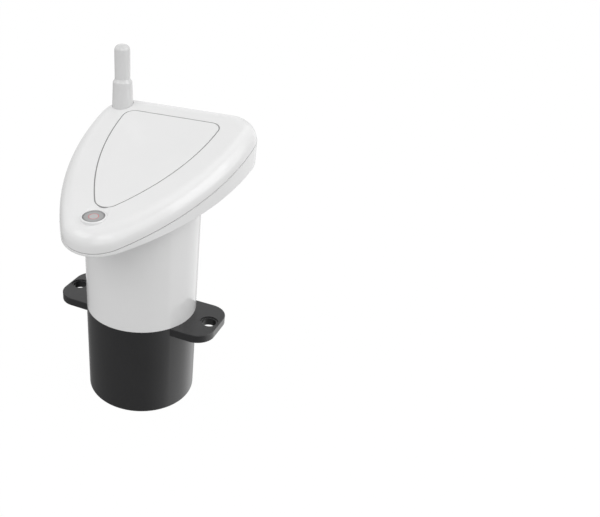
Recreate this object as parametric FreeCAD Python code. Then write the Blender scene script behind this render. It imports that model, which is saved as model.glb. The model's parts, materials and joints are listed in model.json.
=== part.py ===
import FreeCAD, Part

# Wireless ultrasonic level sensor for a liquid tank.
# A white tube stands on a black base with two screw ears. The base goes down through a hole in the
# tank's roof and holds two transducers that look down. On the tube sits a shield-shaped head whose
# top leans down to its nose, with a battery lid, a test button and a short antenna.
# Millimetres, +Z up, origin on the tube's axis in the base's flat bottom, ears along X, nose at -Y.

import math
import os
from FreeCAD import Placement, Rotation, Vector

os.makedirs("parts", exist_ok=True)

# Driving dimensions of the base and its ears
base_height = 40.9
base_r = 23.15
base_wall = 2.05
base_floor = 2.0
base_edge = 0.9
ear_reach = 35.4
ear_width = 24.8
ear_thickness = 3.5
ear_corner = 7.7
ear_edge = 0.25
ear_hole_inset = 4.4
ear_hole_r = 2.9
ear_sink_r = 3.7
ear_sink_depth = 0.4

# Driving dimensions of the tube and of its spigot in the base
tube_r = 23.0
tube_wall = 2.2
spigot_gap = 0.15
spigot_wall = 2.6
spigot_depth = 8.0
tube_floor = 2.5
o_ring_wire = 1.6
o_ring_squeeze = 0.1
o_ring_gap = 0.03
tube_step_wall = 0.5

# Driving dimensions of the head: shield outline, leaning top, cover and pan
head_nose = 44.0
head_nose_r = 15.0
head_width = 68.9
head_widest_y = 25.9
head_back = 39.0
head_corner_r = 13.1
head_wall = 2.0
top_over_cells = 15.2
top_lean = 17.34
top_round = 6.6
cover_depth = 6.4
seam_gap = 0.4
seam_recess = 0.15
pan_proud = 0.12
pan_fit = 0.1
pan_over_cells = 2.4
pan_lean = 11.5
pan_floor = 2.0
pan_lip_round = 0.4
pan_blend = 2.5

# Driving dimensions of the battery lid and its seat in the cover
lid_nose_margin = 13.2
lid_side_margin = 13.52
lid_back_margin = 11.75
lid_nose = head_nose - lid_nose_margin
lid_nose_r = 5.29
lid_width = head_width - 2 * lid_side_margin
lid_widest_y = 25.99
lid_back = head_back - lid_back_margin
lid_corner_r = 4.34
lid_groove = 0.4
lid_thickness = 2.0
lid_edge = 0.25
lid_rest_gap = 0.1
lid_ledge = 2.4
lid_plug_depth = 1.8
lid_plug_wall = 2.2
lid_plug_gap = 0.35
lid_groove_depth = 1.0
lid_rib_pitch = 12.0
lid_rib_y = 2.0
lid_rib_thickness = 1.2
lid_rib_rise = 0.8
lid_seal_height = 1.0
lid_seal_depth = 0.9
lid_seal_gap = 0.05
lid_strip_depth = 0.35
lid_strip_gap = 0.05
seat_wall = 1.5

# Driving dimensions of the test button
button_y = -34.9
button_lean = 6.0
button_r = 3.97
button_gap = 0.08
button_thickness = 1.0
button_round = 0.15
button_travel = 0.4
button_stem_r = 1.2
button_below_bezel = 0.15
bezel_r = 4.65
bezel_proud = 0.35
bezel_length = 2.75
bezel_dish_drop = 0.1
bezel_dish_rise = 1.6
bezel_dish_reach = 3.4
bezel_ledge = 0.6
bezel_round = 0.3
bezel_seal_wire = 0.7
bezel_seal_squeeze = 0.05
ring_r = 1.75
ring_width = 0.2
ring_depth = 0.3
clip_r = 2.2
clip_bore_r = 0.9
clip_mouth = 1.68
clip_gap = 0.05
clip_thickness = 0.35

# Driving dimensions of the antenna
antenna_side_margin = 9.39
antenna_back_margin = 10.1
antenna_x = round(antenna_side_margin - head_width / 2, 3)
antenna_y = head_back - antenna_back_margin
antenna_foot_r = 4.4
antenna_shoulder_r = 4.0
antenna_tip_r = 3.2
antenna_shoulder_rise = 18.0
antenna_shoulder_slope = 1.2
antenna_rise = 32.6
antenna_shoulder_round = 0.5
antenna_tip_round = 2.3
antenna_gap = 0.1
antenna_seat_rise = 2.9
antenna_wall = 1.1
antenna_seal_wire = 1.1
socket_wall = 1.4
socket_floor = 1.6
tail_r = 2.6
tail_gap = 0.1
tail_length = 4.6
tail_bore_r = 1.9
nut_width = 8.0
nut_height = 2.4
coil_r = 1.4
coil_wire = 0.7
coil_turns = 7
coil_end_room = 7.4
coil_former_bite = 0.05
feed_drop = 1.0

# Driving dimensions of the main board and what stands on it
board_thickness = 1.6
board_standoff = 0.5
board_margin = 2.2
board_opening_gap = 1.0
screw_front_x = 13.0
screw_front_y = -25.0
screw_back_x = 13.0
screw_back_y = 33.0
screw_r = 1.3
screw_core_r = 1.05
screw_head_r = 2.4
screw_head_height = 1.5
screw_length = 8.0
screw_seat_depth = 1.1
screw_gap = 0.2
boss_r = 2.8
screw_bite = 0.2
crown_share = 0.4
drive_share = 0.6
switch_size = 4.5
switch_height = 1.5
switch_floor = 0.1
plunger_r = 0.8
plunger_gap = 0.08
plunger_length = 1.0
led_size = 1.6
led_height = 0.6
led_y = -29.0
module_width = 12.0
module_length = 9.0
module_height = 2.2
module_card = 0.8
module_margin = 1.0
module_round = 0.4
module_side_margin = 13.95
module_x = module_side_margin - head_width / 2
module_y = 17.0
chip_size = 7.0
chip_height = 1.0
chip_lift = 0.1
chip_legs = 8
leg_pitch = 0.8
leg_width = 0.35
leg_length = 1.0
leg_height = 0.4
chip_side_margin = 13.95
chip_x = head_width / 2 - chip_side_margin
chip_y = 14.0
capacitor_r = 2.0
capacitor_height = 3.6
capacitor_waist = 0.8
capacitor_crimp = 0.15
capacitor_x = 18.0
capacitor_y = -2.0
capacitor_spacing = 5.2

# Driving dimensions of the cells and their carrier
cell_r = 7.25
cell_length = 49.2
cell_nub_r = 2.7
cell_nub_height = 1.3
cell_edge = 0.7
cell_pitch = 15.2
cells_y = 5.5
carrier_r = 8.2
carrier_plate = 1.6
carrier_cell_gap = 0.15
carrier_spring_room = 3.2
carrier_top_room = 0.5
carrier_rest_height = 3.2
rest_width = 2.0
rest_length = 9.0
rest_x = 12.0
window_edge = 8.0
carrier_bar_height = 4.0
carrier_bar_width = 12.0
carrier_bar_thickness = 2.0
carrier_bar_round = 1.5
carrier_bar_post = 2.0
contact_thickness = 0.4
contact_size = 9.0
spring_r = 2.6
spring_wire = 0.5
spring_turns = 3
tab_width = 3.8
tab_depth = 2.6
tab_slot_width = 4.0
tab_slot_depth = 3.0
strip_width = 5.0
strip_length = 9.0
strip_arm = 6.0
spring_bite = 0.05
contact_bite = 0.1

# Driving dimensions of the transducers and their board
transducer_r = 8.0
transducer_height = 12.0
transducer_x = 9.6
transducer_lip = 0.6
transducer_rim = 1.2
transducer_dish = 0.8
transducer_step = 1.0
seal_wall = 0.8
seal_height = 10.0
collar_wall = 1.2
pin_r = 0.5
pin_spacing = 5.0
pin_through = 1.2
pin_gap = 0.05
lower_board_r = 20.2
lower_board_height = 15.5
post_r = 2.4
post_foot = 0.5
post_gap = 0.4
post_x = 13.6
post_y = 12.0
post_screw_r = 1.0
post_screw_length = 6.0
post_screw_head_r = 1.9
post_screw_head_height = 1.2
base_screw_y = 15.6
base_post_r = 3.0
base_screw_r = 1.4
base_screw_length = 10.0
base_screw_head_r = 2.6
base_screw_head_height = 1.8
base_screw_gap = 0.1
thermistor_r = 1.1
thermistor_x = -3.0
thermistor_y = -8.6
thermistor_lift = 1.0
thermistor_leg_r = 0.25
thermistor_spread = 0.6

# Driving dimensions of the two inner leads
sensor_lead_r = 1.3
sensor_lead_x = 8.5
sensor_lead_y = -11.5
battery_lead_r = 0.8
battery_lead_x = 6.0
battery_lead_y = 16.2
plug_size = 5.0
plug_height = 3.0
lead_hole_gap = 0.5

# Sizes that follow from the driving dimensions
reach = 200.0
past = 1.0
near = 0.01
least_round = 0.5
ear_spacing = 2 * (ear_reach - ear_hole_inset)
top_rise = cell_length + top_over_cells
pan_rise = cell_length + pan_over_cells
top_height = base_height + top_rise
pan_height = base_height + pan_rise
antenna_seat_height = top_height + antenna_seat_rise
antenna_shoulder_height = top_height + antenna_shoulder_rise
antenna_height = top_height + antenna_rise
base_bore_r = base_r - base_wall
tube_bore_r = tube_r - tube_wall
spigot_r = base_bore_r - spigot_gap
spigot_bore_r = spigot_r - spigot_wall
tube_foot = base_height - spigot_depth
tube_floor_top = tube_foot + tube_floor
carrier_foot = tube_floor_top + carrier_rest_height
cell_foot = carrier_foot + carrier_plate + carrier_spring_room
cell_top = cell_foot + cell_length + cell_nub_height
carrier_top = cell_top + carrier_top_room + contact_thickness + carrier_plate
board_low = pan_floor + board_standoff
board_top = board_low + board_thickness
pan_seam = -cover_depth - seam_gap
lower_board_top = lower_board_height + board_thickness


def top_surface(y):
    """Height of the head's leaning top plane at a place y."""
    return top_height + y * math.tan(math.radians(top_lean))


TOP = Placement(Vector(0, 0, top_height), Rotation(Vector(1, 0, 0), top_lean))
PAN = Placement(Vector(0, 0, pan_height), Rotation(Vector(1, 0, 0), pan_lean))
BUTTON = Placement(Vector(0, button_y, top_surface(button_y)), Rotation(Vector(1, 0, 0), button_lean))


def placed(shape, frame):
    """The shape moved from a frame's own axes into the part's axes."""
    moved = shape.copy()
    moved.Placement = frame.multiply(moved.Placement)
    return moved


def slab(frame, low, high):
    """Everything between two heights of a frame."""
    sheet = Part.makeBox(2 * reach, 2 * reach, high - low, Vector(-reach, -reach, low))
    return placed(sheet, frame)


def rod(radius, low, high, x=0.0, y=0.0):
    """An upright cylinder between two heights."""
    return Part.makeCylinder(radius, high - low, Vector(x, y, low))


def ring(outer, inner, low, high, x=0.0, y=0.0):
    """An upright tube between two heights."""
    return rod(outer, low, high, x, y).cut(rod(inner, low, high, x, y))


def block(width, depth, low, high, x=0.0, y=0.0):
    """A box centred on x and y between two heights."""
    return Part.makeBox(width, depth, high - low, Vector(x - width / 2, y - depth / 2, low))


def turned(profile, x=0.0, y=0.0):
    """A closed outline of radius and height pairs, revolved about an upright axis."""
    points = [Vector(x + radius, y, height) for radius, height in profile]
    face = Part.Face(Part.makePolygon(points + points[:1]))
    return face.revolve(Vector(x, y, 0), Vector(0, 0, 1), 360)


def torus(centre_r, wire, height, x=0.0, y=0.0):
    """A round seal ring."""
    return Part.makeTorus(centre_r, wire / 2, Vector(x, y, height))


def coil(radius, wire, pitch, turns, low, x=0.0, y=0.0):
    """A wire wound upwards at a steady pitch."""
    helix = Part.makeHelix(pitch, pitch * turns, radius)
    section = Part.Wire(Part.makeCircle(wire / 2, Vector(radius, 0, 0), Vector(0, 1, 0)))
    wound = Part.Wire(helix).makePipeShell([section], True, True)
    wound.translate(Vector(x, y, low))
    return wound


def joined(shapes):
    """One shape from pieces that touch or overlap, with split faces made whole."""
    return shapes[0].multiFuse(shapes[1:]).removeSplitter()


def shield(nose, nose_r, width, widest_y, back, corner_r, grow=0.0):
    """A shield outline: round nose, long side arcs, round back corners and a straight back."""
    r_nose = max(nose_r + grow, least_round)
    half = width / 2 + grow
    r_corner = max(corner_r + grow, least_round)
    nose_centre = r_nose - nose - grow
    rise = nose_centre - widest_y
    r_side = (r_nose ** 2 - half ** 2 - rise ** 2) / (2 * (r_nose - half))
    side_x = half - r_side
    back_y = back + grow
    corner_y = back_y - r_corner
    corner_x = side_x + math.sqrt((r_side - r_corner) ** 2 - (corner_y - widest_y) ** 2)
    low = math.atan2(rise, -side_x)
    high = math.atan2(corner_y - widest_y, corner_x - side_x)

    def on(x, y, radius, angle, side):
        return Vector(side * (x + radius * math.cos(angle)), y + radius * math.sin(angle), 0)

    edges = []
    for side in (1, -1):
        start = on(0, nose_centre, r_nose, low, side)
        middle = on(side_x, widest_y, r_side, (low + high) / 2, side)
        end = on(corner_x, corner_y, r_corner, high, side)
        turn = on(corner_x, corner_y, r_corner, (high + math.pi / 2) / 2, side)
        last = Vector(side * corner_x, back_y, 0)
        edges.append(Part.Arc(start, middle, end).toShape())
        edges.append(Part.Arc(end, turn, last).toShape())
    tip = Vector(0, nose_centre - r_nose, 0)
    left_start = on(0, nose_centre, r_nose, low, -1)
    right_start = on(0, nose_centre, r_nose, low, 1)
    edges.append(Part.Arc(left_start, tip, right_start).toShape())
    edges.append(Part.makeLine(Vector(corner_x, back_y, 0), Vector(-corner_x, back_y, 0)))
    return Part.Wire(Part.__sortEdges__(edges))


def head_outline(grow=0.0):
    """The head's outline seen from above."""
    return shield(head_nose, head_nose_r, head_width, head_widest_y, head_back, head_corner_r, grow)


def lid_outline(grow=0.0):
    """The lid's outline in the leaning top plane."""
    return shield(lid_nose, lid_nose_r, lid_width, lid_widest_y, lid_back, lid_corner_r, grow)


def prism(wire, low, high):
    """A flat outline drawn up between two heights."""
    solid = Part.Face(wire).extrude(Vector(0, 0, high - low))
    solid.translate(Vector(0, 0, low))
    return solid


def edges_where(shape, test):
    """The edges whose ends and middle all pass a test."""
    chosen = []
    for edge in shape.Edges:
        first, last = edge.FirstParameter, edge.LastParameter
        points = [edge.valueAt(first + (last - first) * share) for share in (0.0, 0.35, 0.7, 1.0)]
        if all(test(point) for point in points):
            chosen.append(edge)
    return chosen


def height_in(frame, point):
    """A point's height in a frame."""
    return frame.inverse().multVec(point).z


def head_form(grow=0.0, drop=0.0):
    """The head's outer form: upright walls, leaning top, and a large round between them."""
    column = prism(head_outline(grow), base_height, top_height + head_back)
    body = column.common(slab(TOP, -reach, -drop))
    rim = edges_where(body, lambda point: abs(height_in(TOP, point) + drop) < near)
    return body.makeFillet(top_round + grow, rim)


def screw_places():
    """The four head screws, in the pan's frame."""
    return [(screw_front_x, screw_front_y), (-screw_front_x, screw_front_y),
            (screw_back_x, screw_back_y), (-screw_back_x, screw_back_y)]


def stadium(radius, low, high):
    """The outline round two cells side by side, drawn up."""
    half = cell_pitch / 2
    ends = [rod(radius, low, high, side * half, cells_y) for side in (1, -1)]
    return joined([block(cell_pitch, 2 * radius, low, high, 0, cells_y)] + ends)


def head_cover():
    """The moulded cover: large edge round, lid seat, antenna socket, screw bosses."""
    outer = head_form()
    shell = outer.cut(head_form(-head_wall, head_wall)).common(slab(TOP, -cover_depth, reach))
    seat_depth = lid_thickness + lid_rest_gap
    seat = placed(prism(lid_outline(lid_groove / 2 + seat_wall),
                        -lid_thickness - lid_plug_depth, 0), TOP)
    bosses = [placed(rod(boss_r, board_top, reach / 4, x, y), PAN) for x, y in screw_places()]
    antenna_foot = antenna_seat_height - socket_floor
    socket_r = antenna_foot_r + antenna_gap + socket_wall
    socket = rod(socket_r, antenna_foot, top_height + head_back, antenna_x, antenna_y)
    inside = head_form(-head_wall / 2, head_wall / 2)
    inner_parts = [item.common(inside) for item in [socket] + bosses]
    cover = joined([shell, seat.common(outer)] + inner_parts)
    cuts = [
        placed(prism(lid_outline(lid_groove / 2), -seat_depth, lid_groove), TOP),
        placed(prism(lid_outline(-lid_ledge), -reach / 4, lid_groove), TOP),
        placed(rod(bezel_r, -reach / 20, reach / 20), BUTTON),
        placed(Part.makeCone(bezel_r, bezel_r + bezel_dish_reach, bezel_dish_rise,
                             Vector(0, 0, bezel_proud - bezel_dish_drop)), BUTTON),
        rod(antenna_foot_r + antenna_gap, antenna_seat_height, reach, antenna_x, antenna_y),
        rod(tail_r + tail_gap, antenna_foot - 1, reach, antenna_x, antenna_y),
    ]
    hole_top = pan_floor - screw_seat_depth + screw_length + board_standoff
    for x, y in screw_places():
        cuts.append(placed(rod(screw_core_r, 0, hole_top, x, y), PAN))
    cover = cover.cut(Part.makeCompound(cuts))
    mouth = edges_where(cover, lambda point: abs(height_in(TOP, point)) < near
                        and on_outline(point, lid_groove / 2))
    return cover.makeChamfer(lid_edge / 2, mouth)


def on_outline(point, grow):
    """Whether a point of the top plane lies on the lid's outline."""
    local = TOP.inverse().multVec(point)
    spot = Part.Vertex(Vector(local.x, local.y, 0))
    return lid_outline(grow).distToShape(spot)[0] < near


def battery_lid():
    """The flush lid with its ribbed plug, which carries the seal."""
    plate = prism(lid_outline(-lid_groove / 2), -lid_thickness, 0)
    upper = edges_where(plate, lambda point: abs(point.z) < near)
    plate = plate.makeFillet(lid_edge, upper)
    inset = lid_ledge + lid_plug_gap
    foot = -lid_thickness - lid_plug_depth
    skirt = prism(lid_outline(-inset), foot, -lid_thickness / 2)
    hollow = prism(lid_outline(-inset - lid_plug_wall), foot, -lid_thickness)
    middle = foot + lid_plug_depth / 2
    groove = prism(lid_outline(-inset + lid_groove_depth), middle - lid_seal_height / 2, middle + lid_seal_height / 2)
    core = prism(lid_outline(-inset - lid_seal_depth + lid_plug_gap), foot, 0)
    rib_places = [lid_rib_y + step * lid_rib_pitch for step in (-1, 0, 1)]
    rib_width = lid_width - 4 * lid_ledge
    rib_foot = foot + lid_rib_rise
    plug = skirt.cut(hollow).cut(groove.cut(core))
    ribs = [block(rib_width, lid_rib_thickness, rib_foot, -lid_thickness / 2, 0, y) for y in rib_places]
    bounds = prism(lid_outline(-inset - lid_plug_wall / 2), foot, 0)
    return placed(joined([plate, plug] + [rib.common(bounds) for rib in ribs]), TOP)


def lid_gasket():
    """The flat seal round the lid's plug, and the soft strip that fills the groove round the lid."""
    foot = -lid_thickness - lid_plug_depth
    middle = foot + lid_plug_depth / 2
    low = middle - lid_seal_height / 2
    high = middle + lid_seal_height / 2
    outer = prism(lid_outline(-lid_ledge - lid_seal_gap), low, high)
    inner = prism(lid_outline(-lid_ledge - lid_seal_depth), low, high)
    strip_side = lid_groove / 2 - lid_strip_gap
    strip = prism(lid_outline(strip_side), -lid_thickness, -lid_strip_depth).cut(
        prism(lid_outline(-strip_side), -lid_thickness, -lid_strip_depth))
    return placed(Part.makeCompound([outer.cut(inner), strip]), TOP)


def body_housing():
    """The pan under the cover, the tube and its spigot, moulded in one."""
    outer = head_form(pan_proud)
    wall = outer.cut(head_form(-head_wall, head_wall))
    wall = wall.common(slab(TOP, -reach, pan_seam)).common(slab(PAN, 0, reach))
    floor = outer.common(slab(TOP, -reach, pan_seam)).common(slab(PAN, 0, pan_floor))
    inner_floor = head_form(-head_wall - pan_fit, head_wall).common(slab(PAN, 0, pan_floor))
    standoffs = [placed(rod(boss_r, 0, board_low, x, y), PAN) for x, y in screw_places()]
    tube = rod(tube_r, base_height, top_height).common(slab(PAN, -reach, pan_floor))
    housing = joined([wall, floor, inner_floor, tube] + standoffs)
    rim = edges_where(housing, lambda point: abs(height_in(PAN, point)) < near
                      and math.hypot(point.x, point.y) > tube_r + past)
    housing = housing.makeFillet(pan_lip_round, rim)
    root = edges_where(housing, lambda point: abs(height_in(PAN, point)) < near
                       and abs(math.hypot(point.x, point.y) - tube_r) < near)
    housing = housing.makeFillet(pan_blend, root)
    housing = housing.cut(rod(tube_bore_r, tube_foot, top_height))
    spigot = rod(spigot_r, tube_foot, base_height).cut(
        rod(spigot_bore_r, tube_floor_top, base_height))
    lead_in = turned([(spigot_bore_r, base_height), (tube_bore_r, base_height),
                      (tube_bore_r, base_height + tube_bore_r - spigot_bore_r)])
    step = rod(tube_bore_r + tube_step_wall, base_height, base_height + tube_wall).cut(
        rod(spigot_bore_r, base_height, base_height + tube_wall))
    rests = [block(rest_width, rest_length, tube_floor_top - past, carrier_foot, side * rest_x, cells_y)
             for side in (1, -1)]
    housing = joined([housing, spigot, lead_in, step] + rests)
    groove_middle = base_height - spigot_depth / 2
    o_groove = ring(spigot_r + past, base_bore_r - o_ring_wire + o_ring_squeeze,
                    groove_middle - o_ring_wire / 2, groove_middle + o_ring_wire / 2)
    cuts = [o_groove, rod(sensor_lead_r + lead_hole_gap, 0, carrier_foot, sensor_lead_x, sensor_lead_y)]
    for side in (1, -1):
        cuts.append(rod(base_screw_r + base_screw_gap, 0, carrier_foot, 0, side * base_screw_y))
    for x, y in screw_places():
        cuts.append(placed(rod(screw_r + screw_gap, -past, board_low + past, x, y), PAN))
        cuts.append(placed(rod(screw_head_r + screw_gap, -past, screw_seat_depth, x, y), PAN))
    return housing.cut(Part.makeCompound(cuts))


def head_gasket():
    """The pale band that shows in the seam."""
    band = head_form(-seam_recess).cut(head_form(-head_wall, head_wall))
    return band.common(slab(TOP, pan_seam, -cover_depth))


def transducer_base():
    """The black cup with its ears, transducer collars and posts."""
    cup = rod(base_r, 0, base_height)
    cup = cup.makeFillet(base_edge, edges_where(cup, lambda point: abs(point.z) < near
                                                and math.hypot(point.x, point.y) > base_r / 2))
    ears = block(2 * ear_reach, ear_width, base_height - ear_thickness, base_height)
    corners = edges_where(ears, lambda point: abs(abs(point.x) - ear_reach) < near
                          and abs(abs(point.y) - ear_width / 2) < near)
    ears = ears.makeFillet(ear_corner, corners)
    brims = edges_where(ears, lambda point: abs(point.z - base_height) < near
                        or abs(point.z - base_height + ear_thickness) < near)
    ears = ears.makeFillet(ear_edge, brims)
    bored = joined([cup, ears]).cut(rod(base_bore_r, base_floor, base_height + past))
    inner = []
    seal_r = transducer_r + seal_wall
    for side in (1, -1):
        x = side * transducer_x
        inner.append(rod(seal_r + collar_wall, post_foot, base_floor + seal_height, x, 0))
        inner.append(rod(base_post_r, post_foot, tube_foot, 0, side * base_screw_y))
        for y in (post_y, -post_y):
            inner.append(rod(post_r, post_foot, lower_board_height, side * post_x, y))
    base = joined([bored] + inner)
    cuts = []
    for side in (1, -1):
        x = side * transducer_x
        cuts.append(rod(seal_r, base_floor, lower_board_height, x, 0))
        cuts.append(rod(transducer_r - transducer_lip, -past, base_floor, x, 0))
        cuts.append(rod(base_screw_r - screw_bite, tube_foot - base_screw_length, tube_foot, 0, side * base_screw_y))
        for y in (post_y, -post_y):
            cuts.append(rod(post_screw_r - screw_bite, lower_board_height - post_screw_length,
                            lower_board_height, side * post_x, y))
        hole_x = side * ear_spacing / 2
        cuts.append(rod(ear_hole_r, 0, base_height + past, hole_x, 0))
        cuts.append(rod(ear_sink_r, base_height - ear_sink_depth, base_height + past, hole_x, 0))
    return base.cut(Part.makeCompound(cuts))


def base_o_ring():
    """The seal between spigot and cup, flattened where it bears."""
    height = base_height - spigot_depth / 2
    whole = torus(base_bore_r - o_ring_wire / 2, o_ring_wire, height)
    inner_r = base_bore_r - o_ring_wire + o_ring_squeeze + o_ring_gap
    return whole.common(ring(base_bore_r - o_ring_gap, inner_r, tube_foot, base_height))


def screw(radius, head_r, head_height, length, x, y, seat, drive_r):
    """A pan-head screw pointing down, its head's underside at the seat's height."""
    body = joined([rod(head_r, seat, seat + head_height, x, y), rod(radius, seat - length, seat, x, y)])
    crown = edges_where(body, lambda point: abs(point.z - seat - head_height) < near)
    body = body.makeFillet(head_height * crown_share, crown)
    slot_foot = seat + head_height * crown_share
    slot_top = seat + head_height + past
    drive = [block(2 * drive_r, drive_r / 2, slot_foot, slot_top, x, y),
             block(drive_r / 2, 2 * drive_r, slot_foot, slot_top, x, y)]
    return body.cut(Part.makeCompound(drive))


def base_screws():
    """Two screws from the tube's floor into the cup's posts."""
    return Part.makeCompound([
        screw(base_screw_r - screw_bite, base_screw_head_r, base_screw_head_height, base_screw_length,
              0, side * base_screw_y, tube_floor_top, base_screw_head_r * drive_share)
        for side in (1, -1)])


def board_screws():
    """Four screws that hold the lower board on its posts."""
    places = [(side * post_x, y) for side in (1, -1) for y in (post_y, -post_y)]
    return Part.makeCompound([
        screw(post_screw_r - screw_bite, post_screw_head_r, post_screw_head_height, post_screw_length,
              x, y, lower_board_top, post_screw_head_r * drive_share) for x, y in places])


def head_screws():
    """Four screws that point up, from below the pan into the cover's bosses."""
    turn = Placement(Vector(0, 0, screw_seat_depth), Rotation(Vector(1, 0, 0), 180))
    made = []
    for x, y in screw_places():
        upside = screw(screw_core_r, screw_head_r, screw_head_height, screw_length, x, -y, 0,
                       screw_head_r * drive_share)
        made.append(placed(placed(upside, turn), PAN))
    return Part.makeCompound(made)


def antenna_sleeve():
    """The two-step antenna: thick foot, tapered body, thinner tip, hollow for its wire."""
    tail_foot = antenna_seat_height - tail_length
    profile = [(tail_bore_r, tail_foot), (tail_r, tail_foot), (tail_r, antenna_seat_height),
               (antenna_foot_r, antenna_seat_height),
               (antenna_foot_r, top_surface(antenna_y)),
               (antenna_shoulder_r, antenna_shoulder_height),
               (antenna_tip_r, antenna_shoulder_height + antenna_shoulder_slope),
               (antenna_tip_r, antenna_height), (0, antenna_height),
               (0, antenna_height - antenna_tip_round),
               (antenna_tip_r - antenna_wall, antenna_height - antenna_tip_round),
               (antenna_tip_r - antenna_wall, antenna_seat_height + antenna_wall),
               (tail_bore_r, antenna_seat_height + antenna_wall)]
    body = turned(profile, antenna_x, antenna_y)
    crown = edges_where(body, lambda point: abs(point.z - antenna_height) < near)
    body = body.makeFillet(antenna_tip_round, crown)
    shoulder = edges_where(body, lambda point: abs(point.z - antenna_shoulder_height) < near and abs(
        math.hypot(point.x - antenna_x, point.y - antenna_y) - antenna_shoulder_r) < near)
    body = body.makeFillet(antenna_shoulder_round, shoulder)
    seal_height_z = antenna_seat_height + antenna_seal_wire
    groove = ring(antenna_foot_r + past, antenna_foot_r + antenna_gap - antenna_seal_wire,
                  seal_height_z - antenna_seal_wire / 2, seal_height_z + antenna_seal_wire / 2,
                  antenna_x, antenna_y)
    return body.cut(groove)


def antenna_seal():
    """The seal ring between the antenna's foot and its socket."""
    centre_r = antenna_foot_r + antenna_gap - antenna_seal_wire / 2
    return torus(centre_r, antenna_seal_wire, antenna_seat_height + antenna_seal_wire, antenna_x, antenna_y)


def antenna_nut():
    """The hexagon nut that clamps the antenna from inside."""
    seat = antenna_seat_height - socket_floor
    corner = nut_width / math.sqrt(3)
    points = [Vector(antenna_x + corner * math.cos(math.radians(angle)),
                     antenna_y + corner * math.sin(math.radians(angle)), 0) for angle in range(0, 360, 60)]
    blank = prism(Part.makePolygon(points + points[:1]), seat - nut_height, seat)
    return blank.cut(rod(tail_r, 0, seat, antenna_x, antenna_y))


def antenna_coil():
    """The wire wound on its former, with the feed that runs down to the board."""
    low = antenna_seat_height + antenna_wall + coil_wire
    height = antenna_height - antenna_tip_round - coil_end_room - low
    wound = coil(coil_r, coil_wire, height / coil_turns, coil_turns, low, antenna_x, antenna_y)
    feed_foot = antenna_seat_height - tail_length - feed_drop
    feed = rod(coil_wire / 2, feed_foot, low, antenna_x + coil_r, antenna_y)
    former = rod(coil_r - coil_wire / 2 + coil_former_bite, low, low + height, antenna_x, antenna_y)
    return joined([former, wound, feed])


def bezel_foot():
    """Height of the bezel's lower end, in the button's frame."""
    return bezel_proud - bezel_length


def button_face():
    """Height of the button's face, in the button's frame."""
    return bezel_proud - button_below_bezel


def button_bezel():
    """The white ring that guides the button, with a ledge that the stem passes."""
    foot = bezel_foot()
    body = rod(bezel_r, foot, bezel_proud)
    body = body.makeFillet(bezel_round, edges_where(body, lambda point: abs(point.z - bezel_proud) < near))
    body = body.cut(rod(button_r + button_gap, foot + bezel_ledge, bezel_proud + past))
    body = body.cut(rod(button_stem_r + button_gap, foot - past, bezel_proud))
    seal_z = foot + bezel_ledge
    groove = ring(bezel_r + past, bezel_r - bezel_seal_wire / 2,
                  seal_z - bezel_seal_wire / 2, seal_z + bezel_seal_wire / 2)
    return placed(body.cut(groove), BUTTON)


def bezel_seal():
    """The seal ring round the bezel, flush with its side."""
    seal_z = bezel_foot() + bezel_ledge
    whole = torus(bezel_r, bezel_seal_wire - bezel_seal_squeeze, seal_z)
    return placed(whole.common(rod(bezel_r, seal_z - past, seal_z + past)), BUTTON)


def stem_foot():
    """Height of the stem's end, where the plunger starts, in the button's frame."""
    return board_surface_under_button() + switch_height + button_travel


def board_surface_under_button():
    """Height of the board's top under the button's axis, in the button's frame."""
    axis_start = PAN.inverse().multVec(BUTTON.multVec(Vector(0, 0, 0)))
    axis_end = PAN.inverse().multVec(BUTTON.multVec(Vector(0, 0, -1)))
    return (board_top - axis_start.z) / (axis_start.z - axis_end.z)


def test_button():
    """The button's cap and stem, with the groove for the red ring."""
    face = button_face()
    cap = rod(button_r, face - button_thickness, face)
    cap = cap.makeFillet(button_round, edges_where(cap, lambda point: abs(point.z - face) < near))
    groove = ring(ring_r + ring_width / 2, ring_r - ring_width / 2, face - ring_depth, face + past)
    stem = rod(button_stem_r, stem_foot(), face - button_thickness)
    clip_high = bezel_foot() - clip_gap
    notch = ring(button_stem_r + past, clip_bore_r, clip_high - clip_thickness, clip_high)
    return placed(joined([cap, stem]).cut(groove).cut(notch), BUTTON)


def indicator_ring():
    """The thin red ring in the button's face."""
    face = button_face()
    return placed(ring(ring_r + ring_width / 2, ring_r - ring_width / 2, face - ring_depth, face), BUTTON)


def button_clip():
    """The open spring ring under the bezel that keeps the button in."""
    clip_high = bezel_foot() - clip_gap
    whole = ring(clip_r, clip_bore_r, clip_high - clip_thickness, clip_high)
    mouth = block(clip_mouth, clip_r * 2, clip_high - past, clip_high + past, 0, -clip_r)
    return placed(whole.cut(mouth), BUTTON)


def switch_plunger():
    """The switch's small plunger, which the stem presses."""
    foot = stem_foot()
    return placed(rod(plunger_r, foot - plunger_length, foot), BUTTON)


def tact_switch():
    """The switch on the board, with the hole that the plunger works in."""
    foot = board_surface_under_button()
    body = block(switch_size, switch_size, foot - past, foot + switch_height)
    body = body.cut(rod(plunger_r + plunger_gap, foot + switch_floor, foot + switch_height + past))
    body = placed(body, BUTTON)
    return body.common(slab(PAN, board_top, reach))


def status_led():
    """The small lamp on the board in front of the switch."""
    lens = block(led_size, led_size / 2, board_top, board_top + led_height, 0, led_y)
    return placed(lens, PAN)


def main_board():
    """The board on the pan's standoffs, open where the battery carrier passes."""
    sheet = prism(head_outline(-head_wall - board_margin), board_low, board_top)
    carrier_hole = stadium(carrier_r + board_opening_gap, 0, reach)
    cuts = [rod(screw_r + screw_gap, 0, board_top + past, x, y) for x, y in screw_places()]
    feed_hole = rod(coil_wire, 0, reach, antenna_x + coil_r, antenna_y)
    board = placed(sheet.cut(Part.makeCompound(cuts)), PAN)
    return board.cut(carrier_hole).cut(feed_hole)


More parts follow.
